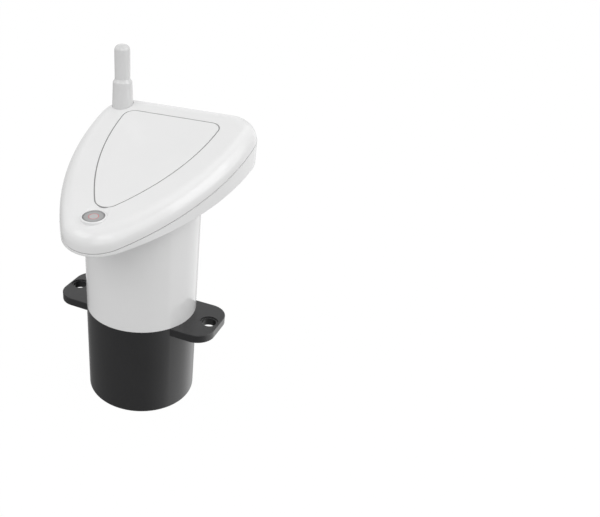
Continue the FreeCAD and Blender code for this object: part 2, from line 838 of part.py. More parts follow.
def rf_module():
    """The radio module: its card and the metal can on it."""
    card_top = board_top + module_card
    card = block(module_width, module_length + 2 * module_margin, board_top, card_top, module_x, module_y)
    can_width = module_width - module_margin
    can = block(can_width, module_length, card_top, board_top + module_height, module_x, module_y)
    upper = edges_where(can, lambda point: point.z > board_top + module_height - near)
    can = can.makeFillet(module_round, upper)
    return placed(joined([card, can]), PAN)


def microcontroller():
    """The square chip with a row of legs on each side."""
    body = block(chip_size, chip_size, board_top + chip_lift, board_top + chip_height, chip_x, chip_y)
    legs = []
    span = chip_size + 2 * leg_length
    leg_top = board_top + leg_height
    for index in range(chip_legs):
        shift = (index - (chip_legs - 1) / 2) * leg_pitch
        legs.append(block(span, leg_width, board_top, leg_top, chip_x, chip_y + shift))
        legs.append(block(leg_width, span, board_top, leg_top, chip_x + shift, chip_y))
    return placed(joined([body] + legs), PAN)


def board_capacitors():
    """Two upright capacitors with the crimped waist of such cans."""
    made = []
    for index in range(2):
        y = capacitor_y + (index - 0.5) * capacitor_spacing
        can = rod(capacitor_r, board_top, board_top + capacitor_height, capacitor_x, y)
        waist_low = board_top + capacitor_waist
        waist = ring(capacitor_r + past, capacitor_r - capacitor_crimp, waist_low,
                     waist_low + 2 * capacitor_crimp, capacitor_x, y)
        made.append(placed(can.cut(waist), PAN))
    return Part.makeCompound(made)


def battery_carrier():
    """Two end plates on a back wall, with a pull bar on top and the cells open to the front."""
    body = stadium(carrier_r, carrier_foot, carrier_top)
    low = carrier_foot + carrier_plate
    high = carrier_top - carrier_plate
    cuts = []
    for side in (1, -1):
        x = side * cell_pitch / 2
        bay_r = cell_r + carrier_cell_gap
        cuts.append(rod(bay_r, low, high, x, cells_y))
        cuts.append(block(2 * bay_r, carrier_r + past, low, high, x, cells_y - (carrier_r + past) / 2))
        cuts.append(block(tab_slot_width, tab_slot_depth, carrier_foot - past, low + past, x, cells_y))
    cuts.append(block(cell_pitch, carrier_r, low + window_edge, high - window_edge, 0, cells_y + carrier_r))
    cuts.append(block(cell_pitch, contact_size / 2, high - contact_thickness, high, 0, cells_y))
    body = body.cut(Part.makeCompound(cuts))
    bar = block(carrier_bar_width, carrier_bar_thickness, carrier_top - carrier_plate / 2,
                carrier_top + carrier_bar_height, 0, cells_y)
    eye = block(carrier_bar_width - 2 * carrier_bar_post, carrier_bar_thickness + past, carrier_top,
                carrier_top + carrier_bar_height - carrier_bar_round, 0, cells_y)
    bar = bar.cut(eye)
    upper = edges_where(bar, lambda point: point.z > carrier_top + carrier_bar_height - near
                        and abs(abs(point.x) - carrier_bar_width / 2) < near)
    return joined([body, bar.makeFillet(carrier_bar_round, upper)])


def cell(x, flip):
    """An AA cell: can, rounded shoulders and a raised pole at one end."""
    profile = [(0, 0), (cell_r, 0), (cell_r, cell_length), (cell_nub_r, cell_length),
               (cell_nub_r, cell_length + cell_nub_height), (0, cell_length + cell_nub_height)]
    body = turned(profile)
    shoulders = edges_where(body, lambda point: math.hypot(point.x, point.y) > cell_r - near
                            and (abs(point.z) < near or abs(point.z - cell_length) < near))
    body = body.makeFillet(cell_edge, shoulders)
    if flip:
        frame = Placement(Vector(x, cells_y, cell_top), Rotation(Vector(1, 0, 0), 180))
    else:
        frame = Placement(Vector(x, cells_y, cell_foot), Rotation())
    return placed(body, frame)


def plate_contact(x, low):
    """A flat contact plate."""
    return block(contact_size, contact_size, low, low + contact_thickness, x, cells_y)


def contact_spring(x, low, high):
    """A compression spring between a plate and a cell's flat end."""
    turns = spring_turns
    pitch = (high - low - spring_wire) / turns
    return coil(spring_r, spring_wire, pitch, turns, low + spring_wire / 2, x, cells_y)


def lower_spring_contact():
    """The plate with the spring under one cell and its tab through the carrier's foot."""
    low = carrier_foot + carrier_plate
    plate = plate_contact(-cell_pitch / 2, low)
    spring = contact_spring(-cell_pitch / 2, low + contact_thickness - spring_bite, cell_foot)
    tab = block(tab_width, tab_depth, carrier_foot, low + contact_bite, -cell_pitch / 2, cells_y)
    return joined([plate, tab, spring])


def lower_pole_contact():
    """The plate with the raised pole under the other cell."""
    low = carrier_foot + carrier_plate
    x = cell_pitch / 2
    pole = rod(cell_nub_r, low, cell_foot, x, cells_y)
    tab = block(tab_width, tab_depth, carrier_foot, low + contact_bite, x, cells_y)
    return joined([plate_contact(x, low), pole, tab])


def upper_bridge_contact():
    """The plate that joins both cells at the top of the carrier."""
    low = cell_top + carrier_top_room
    strap = block(cell_pitch, contact_size / 2, low, low + contact_thickness, 0, cells_y)
    plates = [plate_contact(side * cell_pitch / 2, low) for side in (1, -1)]
    dimple = rod(cell_nub_r, cell_top, low + contact_bite, -cell_pitch / 2, cells_y)
    pad = rod(cell_nub_r, cell_top, low + contact_bite, cell_pitch / 2, cells_y)
    return joined([strap, dimple, pad] + plates)


def floor_contacts():
    """Two bent strips on the tube's floor that press on the carrier's tabs."""
    made = []
    for side in (1, -1):
        x = side * cell_pitch / 2
        foot_top = tube_floor_top + contact_thickness
        foot = block(strip_width, strip_length, tube_floor_top, foot_top, x, cells_y)
        riser_y = cells_y + (strip_length - contact_thickness) / 2
        riser = block(strip_width, contact_thickness, tube_floor_top, carrier_foot, x, riser_y)
        arm_y = cells_y + (strip_length - strip_arm) / 2
        reach_over = block(strip_width, strip_arm, carrier_foot - contact_thickness, carrier_foot, x, arm_y)
        made.append(joined([foot, riser, reach_over]))
    return Part.makeCompound(made)


def transducer(x):
    """A turned can with a dished face, a stepped back and two pins."""
    foot = base_floor
    top = foot + transducer_height
    profile = [(0, foot + transducer_dish), (transducer_r - transducer_lip - transducer_rim,
                                             foot + transducer_dish),
               (transducer_r - transducer_lip - transducer_rim + transducer_dish, foot),
               (transducer_r, foot), (transducer_r, top - transducer_step),
               (transducer_r - transducer_step, top), (0, top)]
    can = turned(profile, x, 0)
    pins = [rod(pin_r, top - past / 2, lower_board_top + pin_through, x + shift, 0)
            for shift in (-pin_spacing / 2, pin_spacing / 2)]
    return joined([can] + pins)


def transducer_seals():
    """The soft sleeves that hold the two cans."""
    return Part.makeCompound([
        ring(transducer_r + seal_wall, transducer_r, base_floor, base_floor + seal_height, side * transducer_x, 0)
        for side in (1, -1)])


def transducer_board():
    """The round board on which both transducers are soldered."""
    board = rod(lower_board_r, lower_board_height, lower_board_top)
    cuts = []
    for side in (1, -1):
        cuts.append(rod(base_post_r + post_gap, 0, reach / 4, 0, side * base_screw_y))
        for y in (post_y, -post_y):
            cuts.append(rod(post_screw_r, 0, reach / 4, side * post_x, y))
        for shift in (-pin_spacing / 2, pin_spacing / 2):
            cuts.append(rod(pin_r + pin_gap, 0, reach / 4, side * transducer_x + shift, 0))
    return board.cut(Part.makeCompound(cuts))


def thermistor():
    """The temperature bead on its two legs."""
    middle = lower_board_top + thermistor_r + thermistor_lift
    bead = Part.makeSphere(thermistor_r, Vector(thermistor_x, thermistor_y, middle))
    legs = [rod(thermistor_leg_r, lower_board_top, middle, thermistor_x + shift, thermistor_y)
            for shift in (-thermistor_spread, thermistor_spread)]
    return joined([bead] + legs)


def lead_top(x, y):
    """Height of the main board's underside above a place."""
    lean = math.radians(pan_lean)
    return pan_height + board_low / math.cos(lean) + y * math.tan(lean)


def sensor_lead():
    """The lead from the lower board up to the main board."""
    low = lower_board_top + plug_height
    high = lead_top(sensor_lead_x, sensor_lead_y) - plug_height
    return rod(sensor_lead_r, low, high, sensor_lead_x, sensor_lead_y)


def sensor_plugs():
    """The plug at each end of that lead."""
    low = block(plug_size, plug_size, lower_board_top, lower_board_top + plug_height,
                sensor_lead_x, sensor_lead_y)
    under = lead_top(sensor_lead_x, sensor_lead_y)
    high = block(plug_size, plug_size, under - plug_height, under + plug_height, sensor_lead_x, sensor_lead_y)
    high = high.common(slab(PAN, -reach, board_low))
    return Part.makeCompound([low, high])


def battery_lead():
    """The lead from the tube's floor up to the main board."""
    high = lead_top(battery_lead_x, battery_lead_y) + past
    wire = rod(battery_lead_r, tube_floor_top, high, battery_lead_x, battery_lead_y)
    return wire.common(slab(PAN, -reach, board_low))


NODES = {
    "head_cover": head_cover,
    "battery_lid": battery_lid,
    "lid_gasket": lid_gasket,
    "body_housing": body_housing,
    "head_gasket": head_gasket,
    "transducer_base": transducer_base,
    "base_o_ring": base_o_ring,
    "base_screws": base_screws,
    "head_screws": head_screws,
    "antenna_sleeve": antenna_sleeve,
    "antenna_coil": antenna_coil,
    "antenna_nut": antenna_nut,
    "antenna_seal": antenna_seal,
    "button_bezel": button_bezel,
    "bezel_seal": bezel_seal,
    "test_button": test_button,
    "indicator_ring": indicator_ring,
    "button_clip": button_clip,
    "switch_plunger": switch_plunger,
    "tact_switch": tact_switch,
    "status_led": status_led,
    "main_board": main_board,
    "rf_module": rf_module,
    "microcontroller": microcontroller,
    "board_capacitors": board_capacitors,
    "battery_carrier": battery_carrier,
    "battery_cell_a": lambda: cell(-cell_pitch / 2, False),
    "battery_cell_b": lambda: cell(cell_pitch / 2, True),
    "lower_spring_contact": lower_spring_contact,
    "lower_pole_contact": lower_pole_contact,
    "upper_bridge_contact": upper_bridge_contact,
    "floor_contacts": floor_contacts,
    "transducer_transmit": lambda: transducer(transducer_x),
    "transducer_receive": lambda: transducer(-transducer_x),
    "transducer_seals": transducer_seals,
    "transducer_board": transducer_board,
    "transducer_board_screws": board_screws,
    "thermistor": thermistor,
    "sensor_lead": sensor_lead,
    "sensor_plugs": sensor_plugs,
    "battery_lead": battery_lead,
}

for name, make in NODES.items():
    shape = make()
    solids = len(shape.Solids)
    print(name, "solids", solids, "valid", shape.isValid(), "volume", round(shape.Volume, 1))
    shape.exportStep("parts/" + name + ".step")
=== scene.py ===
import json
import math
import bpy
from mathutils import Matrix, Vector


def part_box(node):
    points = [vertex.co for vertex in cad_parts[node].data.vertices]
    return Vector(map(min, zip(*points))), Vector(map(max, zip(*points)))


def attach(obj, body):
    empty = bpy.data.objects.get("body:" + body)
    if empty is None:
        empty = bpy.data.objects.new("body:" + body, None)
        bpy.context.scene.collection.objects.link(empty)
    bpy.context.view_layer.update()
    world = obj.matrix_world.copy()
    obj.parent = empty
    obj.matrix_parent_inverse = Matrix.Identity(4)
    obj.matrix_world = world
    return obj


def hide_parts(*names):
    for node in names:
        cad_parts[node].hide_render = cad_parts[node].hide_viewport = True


bl_info = {
    "name": "Tank level sensor",
    "version": (1, 0, 0),
    "blender": (4, 5, 0),
    "location": "View3D > Sidebar > Sensor",
    "description": "Dresses the packed ultrasonic level sensor and sets its studio",
    "category": "Object",
}

import bpy
import numpy as np
from mathutils import Matrix, Vector

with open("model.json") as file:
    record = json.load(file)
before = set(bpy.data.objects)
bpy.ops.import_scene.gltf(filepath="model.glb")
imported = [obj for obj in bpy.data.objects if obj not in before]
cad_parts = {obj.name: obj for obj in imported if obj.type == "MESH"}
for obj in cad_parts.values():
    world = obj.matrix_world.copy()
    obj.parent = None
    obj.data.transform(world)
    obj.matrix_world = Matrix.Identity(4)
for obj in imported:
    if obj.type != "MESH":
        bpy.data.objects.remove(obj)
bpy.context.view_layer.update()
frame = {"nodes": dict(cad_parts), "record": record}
nodes = frame["nodes"]
MM = 0.001

# Angles over which an edge stays sharp: on pieces made here and on CAD nodes
SHARP_ANGLE = math.radians(40)
CREASE_ANGLE = math.radians(30)

# The lid's seal in the groove, drawn darkened as the groove's painted shade: across from the lid's rim and up
# from its top, in mm
LIP_SECTION = ((0.26, -0.16), (0.33, -0.11), (0.57, -0.11), (0.64, -0.16), (0.64, -0.36), (0.26, -0.36))

# Radii in mm between which the button's tone changes: paler inside its ring, and darker at its rim as painted
# shade from the bezel's recess
BUTTON_INNER = (1.55, 1.75)
BUTTON_RIM_SHADE = (3.1, 3.7)

# Small parts on the main board, in mm: each one's x from the middle and y from the lamp, along the board
PAN_LEAN = math.radians(11.5)
CHIP_SPOTS = ((-8, 0), (-5, -2), (5, -1.5), (8, 0.5), (11, 2), (-11, 1.5), (14, 5), (-14, 5), (17, 9.5),
              (-17, 9.5), (-20, 14), (20, 15), (-8, 5), (8, 5), (-11, 7.5), (12, 8.5))
CHIP_SIZE = (1.9, 1.1, 0.6)
CHIP_END_SIZE = (0.7, 1.2, 0.62)
CHIP_END_OUT = 0.9
CHIP_LIFT = 0.32

# Solder domes on the transducers' pins, in mm: pins off the middle, foot below the pin's top, height
PIN_OFF = 2.5
PIN_FOOT = 1.2
DOME_HEIGHT = 0.9
DOME_SIDES = 20

# A cell in its sleeve, in mm
CELL_SIDES = 96
CELL_NUB_R = 2.7
CELL_NUB_HEIGHT = 1.3
CELL_ROUND = 0.7
CELL_DISH = 0.12
CELL_LIP = 1.1
CELL_BAND = 17.0

# Rings in a transducer's face, in mm: radius, number, depth of the ripple, thickness, height in the rim
FACE_R = 5.6
FACE_RINGS = 7
FACE_RIPPLE = 0.09
FACE_THICKNESS = 0.35
FACE_HEIGHT = 0.42
FACE_SIDES = 72

# Room seen by shiny surfaces. An arc is the two angles, or heights, between which a part comes up and the
# two between which it goes again. Angles are in radians to the camera's right.
ROOM_WALLS = 0.27
ROOM_PANELS = ((0.3, (0.15, 0.9, 2.5, 2.8)), (0.6, (0.97, 1.03, 2.5, 2.8)), (0.2, (1.9, 1.96, 2.5, 2.8)))
ROOM_BEHIND = 0.65
BEHIND_ANGLES = (2.5, 3.0)
BEHIND_HEIGHTS = (0.6, 0.8)
ROOM_SOFTBOXES = ((1.5, (-0.7, -0.3, 1.7, 1.9)), (0.6, (-2.5, -2.2, -1.0, -0.8)))
SOFTBOX_HEIGHTS = (0.02, 0.12, 0.7, 0.8)

# Lights in metres: name, place, width, height and the studio's setting of their power
SOFTBOXES = (("softbox_left", (-0.45, -0.55, 0.7), 0.6, 0.5, "left_light"),
             ("softbox_side", (0.6, 0.1, 0.45), 0.4, 0.5, "side_light"),
             ("softbox_centre", (0.33, -0.61, 0.7), 0.5, 0.5, "centre_light"))
LIGHTS_TOWARDS = (0, 0, 0.08)

# Floor: half width in metres, squares along a side, its grey and glow, and the share of the glow that the
# camera and clear pieces see
FLOOR_HALF = 4
FLOOR_SQUARES = 8
FLOOR_GREY = 0.47
FLOOR_GLOW = 1.02
FLOOR_SEEN = 0.97
FLOOR_SEEN_CLEAR = 0.9


def slot_colour(slot):
    """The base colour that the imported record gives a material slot."""
    for entry in frame["record"]["materials"]:
        if entry["slot"] == slot:
            return tuple(entry["base_color"][:3])
    raise ValueError("no slot " + slot)


def shaded(colour, share):
    """A colour at a share of its brightness."""
    return tuple(part * share for part in colour)


def node_middle(node):
    """The middle of a CAD node's box."""
    low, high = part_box(node)
    return (low + high) / 2


# Surfaces


def add_piece(name, points, faces, body, material, ids=None):
    """Makes a mesh piece on a body from points and faces. The ids pick each face's material."""
    mesh = bpy.data.meshes.new(name)
    mesh.from_pydata(points.tolist(), [], [list(face) for face in faces])
    materials = material if isinstance(material, (list, tuple)) else [material]
    for entry in materials:
        mesh.materials.append(entry)
    if ids is not None:
        mesh.polygons.foreach_set("material_index", np.asarray(ids, np.int32))
    mesh.polygons.foreach_set("use_smooth", np.ones(len(mesh.polygons), bool))
    mesh.set_sharp_from_angle(angle=SHARP_ANGLE)
    mesh.validate()
    mesh.update()
    piece = bpy.data.objects.new(name, mesh)
    bpy.context.scene.collection.objects.link(piece)
    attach(piece, body)
    return piece


def stacked_faces(rows, sides):
    """Faces of stacked rings of points, with a fan at each end round the two points that follow the rings."""
    row, side = np.meshgrid(np.arange(rows - 1), np.arange(sides), indexing="ij")
    after = (side + 1) % sides
    quads = np.stack([row * sides + side, row * sides + after,
                      (row + 1) * sides + after, (row + 1) * sides + side], axis=-1).reshape(-1, 4)
    around = np.arange(sides)
    beside = (around + 1) % sides
    top = (rows - 1) * sides
    first = np.stack([np.full(sides, rows * sides), beside, around], axis=-1)
    last = np.stack([np.full(sides, rows * sides + 1), top + around, top + beside], axis=-1)
    return quads.tolist() + first.tolist() + last.tolist()


def stacked_bands(rows, sides):
    """For each of those faces, the number of the ring that its band starts from."""
    return np.concatenate([np.repeat(np.arange(rows - 1), sides), np.zeros(sides, int),
                           np.full(sides, rows - 2)])


def lathe(profile, sides):
    """Turns a profile whose two ends lie on the axis: x = r cos u, y = r sin u, z = z(v)."""
    profile = np.asarray(profile, float)
    ring = profile[1:-1]
    turn = np.linspace(0, 2 * np.pi, sides, endpoint=False)
    grid = np.stack([ring[:, 0, None] * np.cos(turn), ring[:, 0, None] * np.sin(turn),
                     ring[:, 1, None] + 0 * turn], axis=-1)
    points = np.concatenate([grid.reshape(-1, 3), [[0, 0, profile[0, 1]], [0, 0, profile[-1, 1]]]])
    return points, stacked_faces(len(ring), sides)


def pebble(size, rows, sides, squareness):
    """A block with soft edges: each axis is a signed power of the sphere's sine and cosine."""
    def soft(value):
        return np.sign(value) * np.abs(value) ** squareness

    fall = np.linspace(0, np.pi, rows)[1:-1]
    turn = np.linspace(0, 2 * np.pi, sides, endpoint=False)
    width = soft(np.sin(fall))[:, None]
    grid = np.stack([width * soft(np.cos(turn)), width * soft(np.sin(turn)),
                     -soft(np.cos(fall))[:, None] + 0 * turn], axis=-1) * (np.asarray(size) / 2)
    points = np.concatenate([grid.reshape(-1, 3), [[0, 0, -size[2] / 2], [0, 0, size[2] / 2]]])
    return points, stacked_faces(len(fall), sides)


def scattered(shape, places):
    """Copies of one shape at each place, as one set of points and faces."""
    points, faces = shape
    count = len(points)
    spread = (points[None] + np.asarray(places)[:, None]).reshape(-1, 3)
    copies = [[index + copy * count for index in face] for copy in range(len(places)) for face in faces]
    return spread, copies


def into(matrix, points):
    """Points moved from a frame of their own into the part's frame."""
    turn = np.array(matrix.to_3x3())
    return points @ turn.T + np.array(matrix.translation)


def top_rim(node):
    """The rim of a flat top: points in order round their middle, the way outwards at each, the normal."""
    mesh = nodes[node].data
    points = np.empty(len(mesh.vertices) * 3)
    mesh.vertices.foreach_get("co", points)
    points = points.reshape(-1, 3)
    face = max(mesh.polygons, key=lambda entry: entry.area * entry.normal.z)
    normal = np.array(face.normal)
    height = points @ normal
    rim = np.unique(points[height > height.max() - 1e-5].round(6), axis=0)
    side = np.array([1.0, 0.0, 0.0])
    ahead = np.cross(normal, side)
    around = rim - rim.mean(axis=0)
    rim = rim[np.argsort(np.arctan2(around @ ahead, around @ side))]
    along = np.roll(rim, -1, axis=0) - np.roll(rim, 1, axis=0)
    outward = np.cross(along, normal)
    return rim, outward / np.linalg.norm(outward, axis=1, keepdims=True), normal


def lip_along(rim, outward, normal, section):
    """Sweeps a closed section along a rim: p = rim + across * outward + up * normal."""
    rows = [rim + across * outward + up * normal for across, up in section]
    points = np.stack(rows, axis=1)
    count, wide = points.shape[:2]
    step, corner = np.meshgrid(np.arange(count), np.arange(wide), indexing="ij")
    after, beside = (step + 1) % count, (corner + 1) % wide
    faces = np.stack([step * wide + corner, after * wide + corner,
                      after * wide + beside, step * wide + beside], axis=-1).reshape(-1, 4)
    return points.reshape(-1, 3), faces.tolist()


# Shader graphs


class Signal:
    """A shader socket that takes part in Python expressions by adding Math nodes."""

    def __init__(self, graph, socket):
        self.graph = graph
        self.socket = socket

    def math(self, operation, *values):
        return self.graph.node("ShaderNodeMath", {"operation": operation}, *values)

    def __add__(self, other):
        return self.math("ADD", self, other)

    def __sub__(self, other):
        return self.math("SUBTRACT", self, other)

    def __mul__(self, other):
        return self.math("MULTIPLY", self, other)

    def __rsub__(self, other):
        return self.math("SUBTRACT", other, self)

    __radd__ = __add__

    def clamped(self):
        return self.math("MINIMUM", self.math("MAXIMUM", self, 0.0), 1.0)


class Graph:
    """A material's node tree, emptied and built again."""

    def __init__(self, owner):
        owner.use_nodes = True
        self.tree = owner.node_tree
        self.tree.nodes.clear()

    def node(self, kind, settings=None, *values, output=0, **named):
        """Adds a node, sets its settings, then gives its sockets values or links."""
        made = self.tree.nodes.new(kind)
        for key, value in (settings or {}).items():
            setattr(made, key, value)
        pairs = list(enumerate(values)) + [(key.replace("_", " "), value) for key, value in named.items()]
        for key, value in pairs:
            if value is None:
                continue
            if isinstance(value, Signal):
                self.tree.links.new(value.socket, made.inputs[key])
            else:
                made.inputs[key].default_value = value
        return Signal(self, made.outputs[output]) if len(made.outputs) else None

    def place(self):
        """The point on the object, in metres."""
        return self.node("ShaderNodeTexCoord", output="Object")

    def noise(self, scale, detail=3.0, rough=0.55):
        """Smooth noise from 0 to 1 with features about one over the scale, in metres."""
        return self.node("ShaderNodeTexNoise", None, Vector=self.place(), Scale=scale, Detail=detail,
                         Roughness=rough)

    def mix(self, factor, first, second):
        """A colour between two, each of them a signal or three numbers."""
        made = self.tree.nodes.new("ShaderNodeMix")
        made.data_type = "RGBA"
        self.tree.links.new(factor.socket, made.inputs[0])
        for socket, colour in ((made.inputs[6], first), (made.inputs[7], second)):
            if isinstance(colour, Signal):
                self.tree.links.new(colour.socket, socket)
            else:
                socket.default_value = tuple(colour) + (1,)
        return Signal(self, made.outputs[2])

    def tone(self, colour, factor, spread):
        """A colour that goes a little darker and lighter with a factor."""
        dark = [max(0.0, part * (1 - spread)) for part in colour]
        light = [min(1.0, part * (1 + spread)) for part in colour]
        return self.mix(factor, dark, light)

    def uneven(self, value, *swings):
        """A value that noises from 0 to 1 move up and down, each by half its swing."""
        for noise, swing in swings:
            value = value + (noise - 0.5) * swing
        return value.clamped()

    def rise(self, value, low, high):
        """A smooth step from 0 to 1 between two values."""
        return self.node("ShaderNodeMapRange", {"interpolation_type": "SMOOTHSTEP"}, Value=value,
                         From_Min=low, From_Max=high)

    def arc(self, value, low, high, last, end):
        """Comes up from 0 to 1 between two values and goes again between two others."""
        return self.rise(value, low, high) * (1 - self.rise(value, last, end))

    def relief(self, height, distance, strength=1.0):
        """A bump whose height is in metres times its distance."""
        return self.node("ShaderNodeBump", None, Strength=strength, Distance=distance, Height=height)

    def finish(self, colour, roughness, normal=None, **constants):
        """The shader and the output. Constants go straight to the shader's own sockets."""
        shader = self.node("ShaderNodeBsdfPrincipled", None, Base_Color=colour, Roughness=roughness,
                           Normal=normal, **constants)
        self.node("ShaderNodeOutputMaterial", None, shader)


def moulded(name, colour, gloss, grain, grain_scale, spread=0.015):
    """Moulded plastic: slow change of tone, fine grain in gloss and relief."""
    material = bpy.data.materials.new(name)
    graph = Graph(material)
    slow = graph.noise(60.0, 2.0)
    fine = graph.noise(grain_scale, 2.0)
    rough = graph.uneven(gloss, (slow, 0.06), (fine, 0.05))
    graph.finish(graph.tone(colour, slow, spread), rough, graph.relief(fine, grain))
    return material


def metal(name, colour, gloss):
    """Metal with fine drawn marks and a slightly uneven shine."""
    material = bpy.data.materials.new(name)
    graph = Graph(material)
    drawn = graph.node("ShaderNodeMapping", None, Vector=graph.place(), Scale=(900.0, 900.0, 90.0))
    marks = graph.node("ShaderNodeTexNoise", None, Vector=drawn, Scale=3.0, Detail=3.0)
    cloud = graph.noise(180.0)
    rough = graph.uneven(gloss, (marks, 0.16), (cloud, 0.1))
    graph.finish(graph.tone(colour, cloud, 0.06), rough, graph.relief(marks, 4e-6), Metallic=1.0)
    return material


def button_grey(colour):
    """The button's satin grey by the distance from its axis: paler inside the ring, and darker at the rim as
    painted shade from the bezel's recess.
    """
    material = bpy.data.materials.new("satin_grey")
    graph = Graph(material)
    middle = node_middle("indicator_ring")
    across = graph.node("ShaderNodeVectorMath", {"operation": "SUBTRACT"}, graph.place(),
                        (middle.x, middle.y, middle.z))
    away = graph.node("ShaderNodeVectorMath", {"operation": "LENGTH"}, across, output="Value")
    inner = 1 - graph.rise(away, *np.array(BUTTON_INNER) * MM)
    # Painted shade: the button darkens towards its rim, where the bezel's recess shades it
    rim = graph.rise(away, *np.array(BUTTON_RIM_SHADE) * MM)
    grain = graph.noise(2600.0, 2.0)
    shade = (0.5 + inner * 0.35 - rim * 0.5 + (grain - 0.5) * 0.1).clamped()
    graph.finish(graph.tone(colour, shade, 0.4), (0.42 + grain * 0.06).clamped(), graph.relief(grain, 5e-6))
    return material


def soft_rubber(name, colour):
    """Rubber: dull, with a powdery grain."""
    material = bpy.data.materials.new(name)
    graph = Graph(material)
    dust = graph.noise(1500.0, 3.0)
    cloud = graph.noise(120.0)
    graph.finish(graph.tone(colour, cloud, 0.1), graph.uneven(0.7, (dust, 0.2)), graph.relief(dust, 1e-5))
    return material


def solder_mask(name, colour, lean):
    """A circuit board: tracks under green lacquer, laid out on a leaning plane, with tinned dots."""
    material = bpy.data.materials.new(name)
    graph = Graph(material)
    flat = graph.node("ShaderNodeMapping", None, Vector=graph.place(), Rotation=(-lean, 0.0, 0.0))
    cells = graph.node("ShaderNodeTexBrick", {"offset": 0.35, "squash": 1.4, "squash_frequency": 3},
                       Vector=flat, Scale=210.0, Mortar_Size=0.06, Brick_Width=0.9, Row_Height=0.28,
                       output="Fac")
    dots = graph.node("ShaderNodeTexVoronoi", None, Vector=flat, Scale=420.0, Randomness=0.35)
    dot = (1 - dots * 5.0).clamped()
    cloud = graph.noise(90.0)
    lacquer = graph.tone(colour, (cloud * 0.4 + cells * 0.8).clamped(), 0.35)
    tinned = (0.62, 0.62, 0.6)
    graph.finish(graph.mix(dot, lacquer, tinned), (0.34 + cloud * 0.1).clamped(),
                 graph.relief(cells + dot, 2e-5))
    return material


def sleeve_print(name, colour, band, low, high):
    """A cell's printed sleeve: a plain coloured band between two heights, with a fine pale line."""
    material = bpy.data.materials.new(name)
    graph = Graph(material)
    height = graph.node("ShaderNodeSeparateXYZ", None, graph.place(), output="Z")
    inside = height.math("GREATER_THAN", height, low) * height.math("LESS_THAN", height, high)
    line_width, pale = 1.2 * MM, (0.75, 0.75, 0.74)
    line = height.math("GREATER_THAN", height, high - line_width) * inside
    sheen = graph.noise(250.0)
    paint = graph.mix(line, graph.mix(inside, graph.tone(colour, sheen, 0.08), band), pale)
    graph.finish(paint, (0.3 + sheen * 0.12).clamped(), graph.relief(sheen, 1e-5))
    return material


def smooth_cad(node):
    """Rounds a CAD node's shading: joined corners, kept creases, normals led by the large faces."""
    piece = nodes[node]
    piece.data.polygons.foreach_set("use_smooth", np.ones(len(piece.data.polygons), bool))
    weld = piece.modifiers.new("joined", "WELD")
    weld.merge_threshold = 2e-6
    split = piece.modifiers.new("creases", "EDGE_SPLIT")
    split.split_angle = CREASE_ANGLE
    split.use_edge_sharp = False
    lead = piece.modifiers.new("normals", "WEIGHTED_NORMAL")
    lead.mode = "FACE_AREA_WITH_ANGLE"
    lead.weight = 60
    return piece


def dress(material, *names):
    """Gives CAD nodes a material and smooth shading."""
    for name in names:
        piece = smooth_cad(name)
        piece.data.materials.clear()
        piece.data.materials.append(material)


class SensorColours(bpy.types.PropertyGroup):
    """Colours that a user may change."""

    shell: bpy.props.FloatVectorProperty(
        name="Shell", description="White of the head, tube and antenna", subtype="COLOR",
        size=3, min=0.0, max=1.0, default=slot_colour("white_shell"))
    base: bpy.props.FloatVectorProperty(
        name="Base", description="Black of the base and its ears", subtype="COLOR",
        size=3, min=0.0, max=1.0, default=slot_colour("black_base"))
    button: bpy.props.FloatVectorProperty(
        name="Button", description="Grey of the test button", subtype="COLOR",
        size=3, min=0.0, max=1.0, default=slot_colour("button_grey"))
    ring: bpy.props.FloatVectorProperty(
        name="Ring", description="Red of the ring in the button", subtype="COLOR",
        size=3, min=0.0, max=1.0, default=slot_colour("indicator_red"))
    seam: bpy.props.FloatVectorProperty(
        name="Seam band", description="Grey of the seal in the head's seam", subtype="COLOR",
        size=3, min=0.0, max=1.0, default=slot_colour("grey_rubber"))
    cell_band: bpy.props.FloatVectorProperty(
        name="Cell band", description="Colour of the band on the cells", subtype="COLOR",
        size=3, min=0.0, max=1.0, default=(0.55, 0.32, 0.08))


class SensorFinish(bpy.types.PropertyGroup):
    """Gloss and small sizes that a user may change."""

    shell_gloss: bpy.props.FloatProperty(
        name="Shell roughness", description="Roughness of the white shell", default=0.1,
        min=0.0, max=1.0, subtype="FACTOR")
    # Painted shade: the antenna is the shell's white, darkened to this share
    antenna_shade: bpy.props.FloatProperty(
        name="Antenna shade", description="Tone of the antenna beside the shell's", default=0.84,
        min=0.0, max=1.0, subtype="FACTOR")
    # Painted shade: the seam band's rubber, darkened to this share for the shade in its recess
    seam_shade: bpy.props.FloatProperty(
        name="Seam shade", description="Tone of the head's seam band beside its colour", default=0.74,
        min=0.0, max=1.0, subtype="FACTOR")
    # Painted shade: the lid's gasket and seal lip in the seam rubber, darkened to this share for the shade in
    # the narrow groove
    lid_shade: bpy.props.FloatProperty(
        name="Lid shade", description="Tone of the lid's line beside the seam's colour", default=0.46,
        min=0.0, max=1.0, subtype="FACTOR")
    base_gloss: bpy.props.FloatProperty(
        name="Base roughness", description="Roughness of the black base", default=0.3,
        min=0.0, max=1.0, subtype="FACTOR")
    grain: bpy.props.FloatProperty(
        name="Grain", description="Depth of the moulded grain", default=2e-6,
        min=0.0, max=0.001, subtype="DISTANCE", unit="LENGTH", precision=6)
    sleeve_skin: bpy.props.FloatProperty(
        name="Sleeve", description="Thickness of a cell's sleeve", default=0.08 * MM,
        min=0.0, max=0.001, subtype="DISTANCE", unit="LENGTH", precision=6)
    solder_size: bpy.props.FloatProperty(
        name="Solder", description="Width of a solder dome", default=1.9 * MM,
        min=0.0, max=0.005, subtype="DISTANCE", unit="LENGTH", precision=5)


